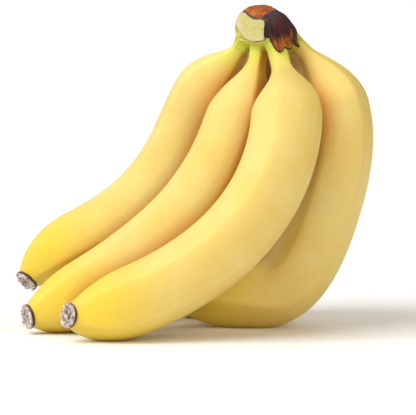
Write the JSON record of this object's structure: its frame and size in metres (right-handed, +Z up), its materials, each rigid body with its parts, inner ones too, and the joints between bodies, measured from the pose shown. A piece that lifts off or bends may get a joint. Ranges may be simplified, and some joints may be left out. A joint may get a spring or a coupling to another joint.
{
  "type": "bunch of bananas",
  "caption": "Bunch of ripe yellow bananas joined at a cut crown with dried skin, standing on the undersides of its curved fingers.",
  "frame": {"origin": "middle of the bounding box, on the surface that the bunch rests on", "axes": "+Z up through the crown; the fingers' tips point to -X; -Y is the front, the side that shows four fingers with the fifth behind them"},
  "size_m": [0.1798, 0.1302, 0.161],
  "materials": {
    "peel": "satin",
    "cut_crown": "satin",
    "dried_skin": "satin",
    "dried_flower_end": "matte"
  },
  "bodies": {
    "root": {"crown": "cut_crown", "dried_crown_skin": "dried_skin", "finger_1": "peel", "finger_1_flower_end": "dried_flower_end", "finger_2": "peel", "finger_2_flower_end": "dried_flower_end", "finger_3": "peel", "finger_3_flower_end": "dried_flower_end", "finger_4": "peel", "finger_4_flower_end": "dried_flower_end", "finger_5": "peel", "finger_5_flower_end": "dried_flower_end"}
  },
  "joints": []
}
